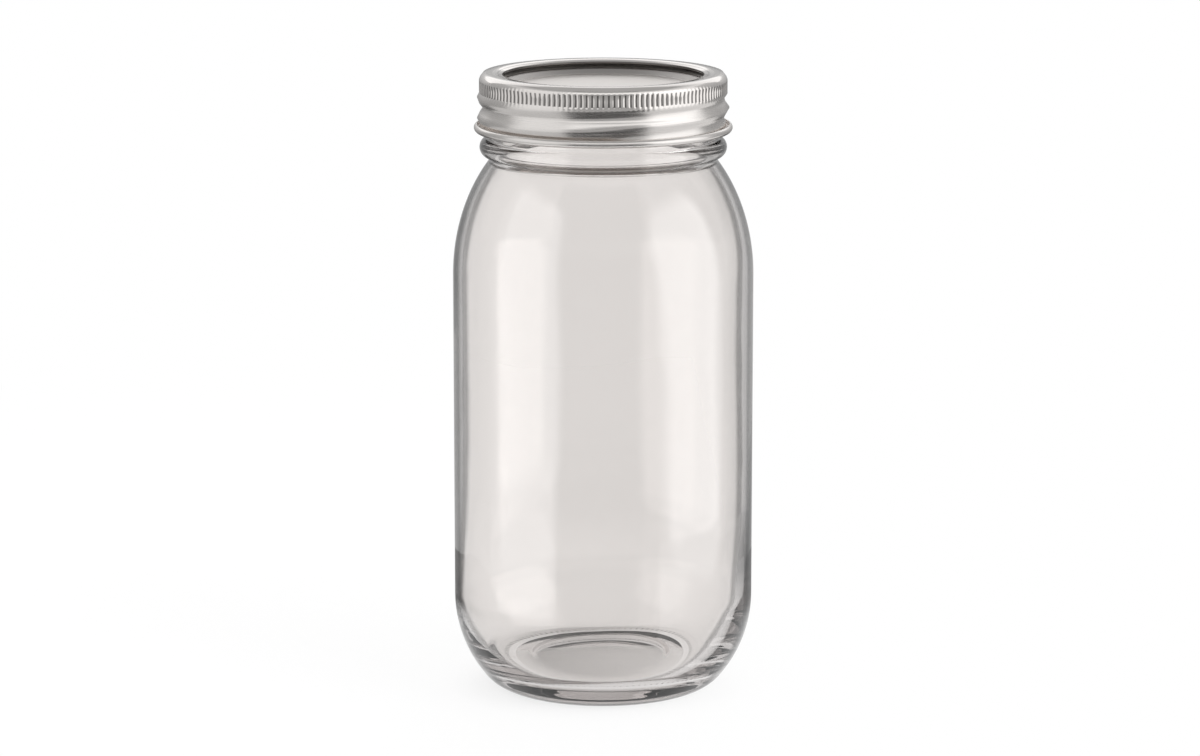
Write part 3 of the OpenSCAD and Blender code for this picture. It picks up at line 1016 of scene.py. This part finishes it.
@dataclass(frozen=True)
class Card:
    """A curved reflector or flag round the jar that only reflections show. A level of 1 is white.

    Attributes:
        name: Name of the stage object.
        rows: Height, first azimuth and last azimuth of evenly spaced rows, from the lower edge up. Heights
            are in metres, and azimuths in degrees from the camera's side, positive to the right.
        first: Level at the first azimuth, for rays that the glass has reflected once.
        last: Level at the last azimuth, for the same rays.
        inner: Level for rays that the glass has reflected more than once.
        metal: Levels at the lower and upper edge for rays that left a metal surface.
        corner: Radius of the rounded corners, as a share of the height.
        soft: Width of the soft edge, as a share of the height; 0 leaves the edge hard.
        breadth: Width of the card as a multiple of its height, in the shape of its corners.
        away: Distance behind the nearest cards, in metres.
        outer: Share of first and last for rays that only the glass's outside has reflected.
    """

    name: str
    rows: tuple[tuple[float, float, float], ...]
    first: float
    last: float
    inner: float
    metal: tuple[float, float]
    corner: float = 0.0
    soft: float = 0.0
    breadth: float = 1.0
    away: float = 0.1
    outer: float = 1.0

    def grid(self, steps: int, lines: int) -> tuple[np.ndarray, np.ndarray, np.ndarray]:
        """Azimuth, height and mask on a grid.

        A row's height and ends are blended from its neighbours' in the table, and the azimuth runs
        evenly between the ends. The mask falls from 1 to 0 by a smooth step across the outline of a
        rectangle with rounded corners.

        Args:
            steps: Columns of the grid.
            lines: Rows of the grid.

        Returns:
            Azimuth in radians, height in metres, and mask, each of lines by steps.
        """
        table = np.array(self.rows, float)
        t = np.linspace(0, 1, lines)
        at = np.linspace(0, 1, len(table))
        height, start, end = (np.interp(t, at, table[:, k]) for k in range(3))
        u = np.linspace(0, 1, steps)[None, :]
        azimuth = np.radians(mix(start[:, None], end[:, None], u))
        height = np.repeat(height[:, None], steps, axis=1)
        if not self.soft:
            return azimuth, height, np.ones_like(azimuth)
        room = self.corner + self.soft / 2
        x = np.maximum(np.abs(u - 0.5) * self.breadth - (self.breadth / 2 - room), 0)
        y = np.maximum(np.abs(t[:, None] - 0.5) - (0.5 - room), 0)
        outside = np.hypot(x, y) - self.corner
        return azimuth, height, 1 - ease(-self.soft / 2, self.soft / 2, outside)


@dataclass
class Studio:
    """The pale floor, the reflectors, the lamps and the camera. Sizes are in metres."""

    distance: float = 1.5
    table_r: float = 0.1
    ceiling_light: float = 0.6
    table_metal: float = 0.1
    table_white: tuple[tuple[float, float], ...] = (
        (0.0, 0.52), (0.0205, 0.52), (0.0225, 0.78), (0.046, 0.93), (0.1, 0.95), (0.5, 1.0))
    # Painted light and shade on the floor near the jar: the glow's share rises to the right and falls to the left,
    # so the jar's shadow shows more on the left.
    table_lean: float = 15.0
    cards: tuple[Card, ...] = (
        Card("front", ((-0.28, -36, 44), (0.5, -36, 44)), 0.42, 0.22, 0.64, (0.48, 0.34)),
        Card("front_high", ((0.5, -36, 44), (1.1, -36, 44)), 0.5, 0.4, 0.8, (0.22, 1.3)),
        Card("front_top", ((1.1, -36, 44), (2.6, -36, 44)), 0.5, 0.4, 0.8, (1.1, 0.03)),
        Card("front_low", ((-1.6, -36, 44), (-0.28, -36, 44)), 0.25, 0.2, 0.7, (0.06, 0.06)),
        Card("left_behind", ((-0.34, -96, -36), (1.3, -96, -36)), 1.15, 0.75, 0.5, (0.7, 0.7)),
        Card("left_high", ((1.3, -134, -36), (2.6, -134, -36)), 0.58, 0.52, 0.6, (0.7, 0.3)),
        Card("left_wing", ((-0.34, -134, -96), (1.3, -134, -96)), 0.8, 0.9, 0.35, (0.32, 0.5)),
        Card("left_low", ((-1.6, -134, -36), (-0.34, -134, -36)), 0.5, 0.75, 0.45, (0.5, 0.6)),
        Card("right_behind", ((-0.34, 44, 106), (1.3, 44, 106)), 0.5, 0.6, 0.8, (0.9, 0.9)),
        Card("right_high", ((1.3, 44, 140), (2.6, 44, 140)), 0.65, 0.65, 0.85, (0.9, 0.3)),
        Card("right_wing", ((-0.34, 106, 140), (1.3, 106, 140)), 0.8, 0.4, 0.95, (0.3, 0.6)),
        Card("right_low", ((-1.6, 44, 140), (-0.34, 44, 140)), 1.05, 0.7, 0.65, (0.6, 0.8)),
        Card("back", ((-0.34, 140, 226), (0.6, 140, 226)), 0.58, 0.48, 0.75, (0.22, 0.64)),
        Card("back_high", ((0.6, 140, 226), (2.6, 140, 226)), 0.65, 0.6, 0.92, (1.2, 0.7)),
        Card("back_low", ((-1.6, 140, 226), (-0.34, 140, 226)), 0.5, 0.08, 0.45, (0.1, 0.1)),
        Card("left_softbox", ((-0.335, -93, -32), (-0.26, -93, -30), (-0.18, -92, -28), (0.2, -91, -28),
                              (0.9, -95, -30), (1.4, -98, -34)),
             2.1, 2.1, 0.4, (0.75, 0.9), 0.12, 0.08, 0.5, 0.0, 0.72),
        Card("left_spot", ((-0.42, -72, -42), (-0.37, -79, -37), (-0.325, -82, -36)),
             1.35, 1.2, 0.5, (0.6, 0.6), 0.3, 0.15, 1.0, 0.0),
        Card("right_softbox", ((-0.335, 44, 106), (-0.27, 47, 107), (-0.2, 47, 107), (-0.12, 39, 106),
                               (0.5, 34, 101), (1.3, 34, 94)),
             2.2, 2.85, 0.75, (1.05, 1.5), 0.12, 0.08, 0.5, 0.0, 0.72),
    )

    def reflector(self, card: Card) -> bpy.types.Object:
        """Makes one reflector: a part of an upright cylinder, seen only by rays that have been reflected.

        A point at azimuth a and height h lies at (distance sin a, -distance cos a, h).

        Args:
            card: Its place and brightness.

        Returns:
            The stage object.
        """
        azimuth, height, mask = card.grid(49, 49)
        lines, steps = azimuth.shape
        reach = self.distance + card.away
        points = np.stack([reach * np.sin(azimuth), -reach * np.cos(azimuth), height], -1)
        here = np.arange(lines - 1)[:, None] * steps + np.arange(steps - 1)[None, :]
        faces = np.stack([here, here + 1, here + steps + 1, here + steps], -1).reshape(-1, 4)
        level = np.broadcast_to(mix(card.first, card.last, np.linspace(0, 1, steps)), (lines, steps))
        share = (height - height.min()) / (height.max() - height.min())
        mesh = bpy.data.meshes.new(card.name)
        mesh.from_pydata(points.reshape(-1, 3).tolist(), [], faces.tolist())
        return self.stage_card(mesh, card, mask, level, mix(*card.metal, share))

    def stage_card(self, mesh: bpy.types.Mesh, card: Card, mask: np.ndarray, level: np.ndarray,
                   metal: np.ndarray) -> bpy.types.Object:
        """Makes a card's object and material, and hides it from the camera and from shadow rays.

        Args:
            mesh: Its mesh.
            card: Its name and levels.
            mask: Share of the card to be seen at each point of the mesh.
            level: Level at each point for rays that the glass has reflected once.
            metal: Level at each point for rays that left a metal surface.

        Returns:
            The stage object.
        """
        for name, values in (("mask", mask), ("level", level), ("metal_level", metal)):
            shade = mesh.attributes.new(name, "FLOAT", "POINT")
            shade.data.foreach_set("value", values.astype(np.float32).ravel())
        panel = bpy.data.objects.new(card.name, mesh)
        bpy.context.scene.collection.objects.link(panel)
        shader = Shader(card.name)
        path = shader.add("LightPath")
        inside = self.above(shader, path.outputs["Transmission Depth"], 0.5)
        again = self.above(shader, path.outputs["Glossy Depth"], 1.5)
        both = shader.add("Math", operation="MULTIPLY")
        shader.join(inside, both.inputs[0])
        shader.join(again, both.inputs[1])
        glass = shader.add("Mix")
        shader.join(both.outputs[0], glass.inputs["Factor"])
        outside = shader.add("MapRange")
        outside.inputs["To Min"].default_value = card.outer
        shader.join(inside, outside.inputs["Value"])
        once = shader.add("Math", operation="MULTIPLY")
        shader.join(shader.add("Attribute", attribute_name="level").outputs["Fac"], once.inputs[0])
        shader.join(outside.outputs["Result"], once.inputs[1])
        shader.join(once.outputs[0], glass.inputs["A"])
        glass.inputs["B"].default_value = card.inner
        chosen = shader.add("Mix")
        shader.join(path.outputs["Is Singular Ray"], chosen.inputs["Factor"])
        shader.join(shader.add("Attribute", attribute_name="metal_level").outputs["Fac"], chosen.inputs["A"])
        shader.join(glass.outputs["Result"], chosen.inputs["B"])
        light = shader.add("Emission")
        shader.join(chosen.outputs["Result"], light.inputs["Strength"])
        clear = shader.add("BsdfTransparent")
        faded = shader.add("MixShader")
        shader.join(shader.add("Attribute", attribute_name="mask").outputs["Fac"], faded.inputs[0])
        shader.join(clear.outputs[0], faded.inputs[1])
        shader.join(light.outputs[0], faded.inputs[2])
        self.show_reflected(shader, faded.outputs[0], clear.outputs[0])
        panel.data.materials.append(shader.material)
        panel.visible_camera = False
        panel.visible_shadow = False
        return panel

    @staticmethod
    def above(shader: Shader, value: bpy.types.NodeSocket, limit: float) -> bpy.types.NodeSocket:
        """Adds a test: 1 where value is above limit, and 0 elsewhere."""
        test = shader.add("Math", operation="GREATER_THAN")
        test.inputs[1].default_value = limit
        shader.join(value, test.inputs[0])
        return test.outputs[0]

    def ceiling(self) -> bpy.types.Object:
        """Makes the dim ceiling: a disc above the jar, seen only by reflected rays."""
        a = np.linspace(0, TURN, 64, endpoint=False)
        reach, height = 6.0, 2.6
        points = np.column_stack([reach * np.cos(a), reach * np.sin(a), np.full(len(a), height)])
        mesh = bpy.data.meshes.new("ceiling")
        mesh.from_pydata(points.tolist(), [], [list(range(len(a)))])
        whole = np.ones(len(a))
        card = Card("ceiling", (), self.ceiling_light, self.ceiling_light, 1.4, (0.42, 0.42))
        return self.stage_card(mesh, card, whole, self.ceiling_light * whole, card.metal[0] * whole)

    @staticmethod
    def show_reflected(shader: Shader, seen: bpy.types.NodeSocket, other: bpy.types.NodeSocket) -> None:
        """Gives reflected rays one shader and all others another.

        Args:
            shader: The material.
            seen: Shader for rays that have been reflected at least once.
            other: Shader for the rest.
        """
        path = shader.add("LightPath")
        choose = shader.add("MixShader")
        shader.join(Studio.above(shader, path.outputs["Glossy Depth"], 0.5), choose.inputs[0])
        shader.join(other, choose.inputs[1])
        shader.join(seen, choose.inputs[2])
        shader.join(choose.outputs[0], shader.output.inputs["Surface"])

    def floor(self) -> bpy.types.Object:
        """Makes the floor: white where nothing shades it, fading to plain white away from the jar."""
        reach = 8.0
        mesh = bpy.data.meshes.new("floor")
        mesh.from_pydata([(-reach, -reach, 0), (reach, -reach, 0), (reach, reach, 0), (-reach, reach, 0)], [],
                         [(0, 1, 2, 3)])
        ground = bpy.data.objects.new("floor", mesh)
        bpy.context.scene.collection.objects.link(ground)
        shader = Shader("pale_floor")
        shader.principled.inputs["Base Color"].default_value = (0.9, 0.9, 0.9, 1)
        shader.principled.inputs["Roughness"].default_value = 0.9
        shader.principled.inputs["Specular IOR Level"].default_value = 0
        white = shader.add("Emission")
        seen_by = shader.add("LightPath")
        polished = shader.add("Math", operation="MAXIMUM")
        shader.join(seen_by.outputs["Is Singular Ray"], polished.inputs[0])
        unmirrored = shader.add("Math", operation="SUBTRACT")
        unmirrored.inputs[0].default_value = 1
        shader.join(self.above(shader, seen_by.outputs["Glossy Depth"], 0.5), unmirrored.inputs[1])
        shader.join(unmirrored.outputs[0], polished.inputs[1])
        strength = shader.add("MapRange")
        strength.inputs["To Min"].default_value = self.table_metal
        shader.join(polished.outputs[0], strength.inputs["Value"])
        shader.join(strength.outputs["Result"], white.inputs["Strength"])
        place = shader.add("TexCoord")
        away = shader.add("VectorMath", operation="LENGTH")
        shader.join(place.outputs["Object"], away.inputs[0])
        spread = shader.add("Math", operation="DIVIDE")
        spread.inputs[1].default_value = self.table_white[-1][0]
        shader.join(away.outputs["Value"], spread.inputs[0])
        share = shader.add("ValToRGB")
        stops = share.color_ramp.elements
        for number, (radius, white_share) in enumerate(self.table_white):
            place_in_ramp = radius / self.table_white[-1][0]
            stop = stops[number] if number < len(stops) else stops.new(place_in_ramp)
            stop.position = place_in_ramp
            stop.color = (white_share, white_share, white_share, 1)
        shader.join(spread.outputs[0], share.inputs[0])
        # Painted light and shade: the glow's share leans with X, lighter to the right of the jar and darker to its
        # left.
        across, lean = shader.add("SeparateXYZ"), shader.add("Math", operation="MULTIPLY")
        lean.inputs[1].default_value = self.table_lean
        shader.join(place.outputs["Object"], across.inputs[0])
        shader.join(across.outputs["X"], lean.inputs[0])
        short, slant = shader.add("Math", operation="SUBTRACT"), shader.add("Math", operation="MULTIPLY")
        short.inputs[0].default_value = 1
        shader.join(share.outputs["Color"], short.inputs[1])
        shader.join(short.outputs[0], slant.inputs[0])
        shader.join(lean.outputs[0], slant.inputs[1])
        leaning = shader.add("Math", operation="ADD", use_clamp=True)
        shader.join(share.outputs["Color"], leaning.inputs[0])
        shader.join(slant.outputs[0], leaning.inputs[1])
        lit = shader.add("MixShader")
        shader.join(leaning.outputs[0], lit.inputs[0])
        shader.join(shader.principled.outputs[0], lit.inputs[1])
        shader.join(white.outputs[0], lit.inputs[2])
        far = shader.add("MapRange")
        far.inputs["From Min"].default_value = self.table_r - 0.02
        far.inputs["From Max"].default_value = self.table_r + 0.02
        shader.join(away.outputs["Value"], far.inputs["Value"])
        beyond = shader.add("MixShader")
        shader.join(far.outputs["Result"], beyond.inputs[0])
        shader.join(lit.outputs[0], beyond.inputs[1])
        shader.join(shader.add("BsdfTransparent").outputs[0], beyond.inputs[2])
        self.show_reflected(shader, beyond.outputs[0], lit.outputs[0])
        ground.data.materials.append(shader.material)
        return ground

    def world(self) -> None:
        """Sets a white surround for camera, reflected and refracted rays, and a soft grey one for the rest."""
        world = bpy.data.worlds.new("studio")
        bpy.context.scene.world = world
        world.use_nodes = True
        tree = world.node_tree
        soft = tree.nodes["Background"]
        soft.inputs["Color"].default_value = (0.75, 0.75, 0.75, 1)
        white = tree.nodes.new("ShaderNodeBackground")
        white.inputs["Color"].default_value = (1, 1, 1, 1)
        path = tree.nodes.new("ShaderNodeLightPath")
        either = tree.nodes.new("ShaderNodeMath")
        either.operation = "MAXIMUM"
        any_ray = tree.nodes.new("ShaderNodeMath")
        any_ray.operation = "MAXIMUM"
        choose = tree.nodes.new("ShaderNodeMixShader")
        links = tree.links
        links.new(path.outputs["Is Camera Ray"], either.inputs[0])
        links.new(path.outputs["Is Glossy Ray"], either.inputs[1])
        links.new(either.outputs[0], any_ray.inputs[0])
        links.new(path.outputs["Is Transmission Ray"], any_ray.inputs[1])
        links.new(any_ray.outputs[0], choose.inputs[0])
        links.new(soft.outputs[0], choose.inputs[1])
        links.new(white.outputs[0], choose.inputs[2])
        links.new(choose.outputs[0], tree.nodes["World Output"].inputs["Surface"])

    def lamp(self, name: str, place: tuple[float, float, float], size: float, power: float) -> None:
        """Adds a square area lamp that faces the middle of the jar.

        Args:
            name: Name of the lamp.
            place: Where it stands.
            size: Its side.
            power: Its power in watts.
        """
        light = bpy.data.lights.new(name, "AREA")
        light.size = size
        light.energy = power
        lamp = bpy.data.objects.new(name, light)
        bpy.context.scene.collection.objects.link(lamp)
        lamp.location = place
        from mathutils import Vector

        aim = Vector((0, 0, 0.09)) - Vector(place)
        lamp.rotation_euler = aim.to_track_quat("-Z", "Y").to_euler()
        lamp.visible_camera = False
        lamp.visible_glossy = False
        lamp.visible_transmission = False

    def camera(self) -> None:
        """Places the camera as the photograph's was: long lens, 11.25 degrees down, 1.3 m away."""
        data = bpy.data.cameras.new("camera")
        data.lens = 133.0
        data.sensor_width = 36
        data.clip_start = 0.05
        camera = bpy.data.objects.new("camera", data)
        bpy.context.scene.collection.objects.link(camera)
        camera.location = (-0.94 * MM, -1276.0 * MM, 345.5 * MM)
        camera.rotation_euler = (math.radians(90 - 11.25), 0, 0)
        bpy.context.scene.camera = camera

    def build(self) -> None:
        """Sets up the whole studio."""
        self.camera()
        self.world()
        self.floor()
        for card in self.cards:
            self.reflector(card)
        self.ceiling()
        self.lamp("key", (-0.9, -0.9, 1.1), 0.9, 9)
        self.lamp("fill", (1.0, -0.7, 0.9), 0.9, 7)
        self.lamp("back", (0.1, 1.2, 1.0), 1.0, 6)


def dress(piece: bpy.types.Object, node: str, body: str, material: bpy.types.Material) -> None:
    """Lets a piece stand for its CAD node: body, material slot and material.

    Args:
        piece: The piece.
        node: The CAD node that it replaces.
        body: The CAD body that it rides on.
        material: Its finish.
    """
    piece.data.materials.clear()
    piece.data.materials.append(material)
    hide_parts(node)
    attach(piece, body)
    LOG.info("%s stands for %s, %d faces", piece.name, node, len(piece.data.polygons))


def main() -> None:
    """Builds the studio and the four pieces."""
    logging.basicConfig(level=logging.INFO, format="%(message)s")
    scene = bpy.context.scene
    scene.view_settings.view_transform = "Standard"
    scene.cycles.max_bounces = 24
    scene.cycles.glossy_bounces = 16
    scene.cycles.transmission_bounces = 20
    Studio().build()
    grain = drawn_sheet_group()
    # Painted shade on the band: near black mixed into its colour at the knurl flutes' roots, on the hem's rounded
    # inner edge and in two rings on its top.
    knurl_roots = Recess(0.1764, 0.1799, 0.03, 0.04, 0.85, 144 / 0.036)
    hem_lip = Recess(0.1805, 0.18142, 0.029, 0.03, 0.85)
    band_top_painted_shade = (Recess(0.1812, 0.183, 0.0303, 0.0308, 0.3), Recess(0.1812, 0.183, 0.0322, 0.0339, 0.22))
    band_metal = TinplateFinish("band_tinplate", (0.87, 0.84, 0.815), (0.82, 0.785, 0.76), (0.09, 0.16), 0.00022,
                                0.00001, 0.13, 0.1763, (knurl_roots, hem_lip, *band_top_painted_shade))
    # Painted shade on the disc: near black mixed into its colour on the slopes up from its panel and from its
    # ledge.
    disc_steps = (Recess(0.1779, 0.1815, 0.0266, 0.0284, 0.5), Recess(0.1792, 0.1815, 0.0297, 0.0316, 0.6))
    disc_metal = TinplateFinish("disc_tinplate", (0.95, 0.915, 0.885), (0.92, 0.88, 0.85), (0.34, 0.42), 0.0004,
                                0.000004, painted_shades=disc_steps)
    base_ticks = Recess(-0.001, 0.004, 0.0286, 0.0302, 0.7, 96 / 0.04385)
    mould_seam = Recess(-0.001, 0.006, 0.0326, 0.0329, 0.5)
    # The glass's colour: its own faint tint deepened by painted shade for a grey surround seen through it.
    glass = GlassFinish("clear_glass", (0.903, 0.883, 0.870), (0.5, 0.46, 0.45), 18, 0.00012,
                        (base_ticks, mould_seam))
    compound = CompoundFinish("sealing_compound", (0.86, 0.83, 0.77), (0.78, 0.74, 0.67))
    screw = Screw()
    dress(GlassJar(screw).build(), "glass_jar", "jar", glass.make())
    dress(LidDisc().build(), "lid_disc", "lid", disc_metal.make(grain))
    dress(SealingRing().build(), "sealing_gasket", "lid", compound.make())
    dress(ScrewBand(screw).build(), "screw_band", "band", band_metal.make(grain))


if __name__ == "__main__":
    main()
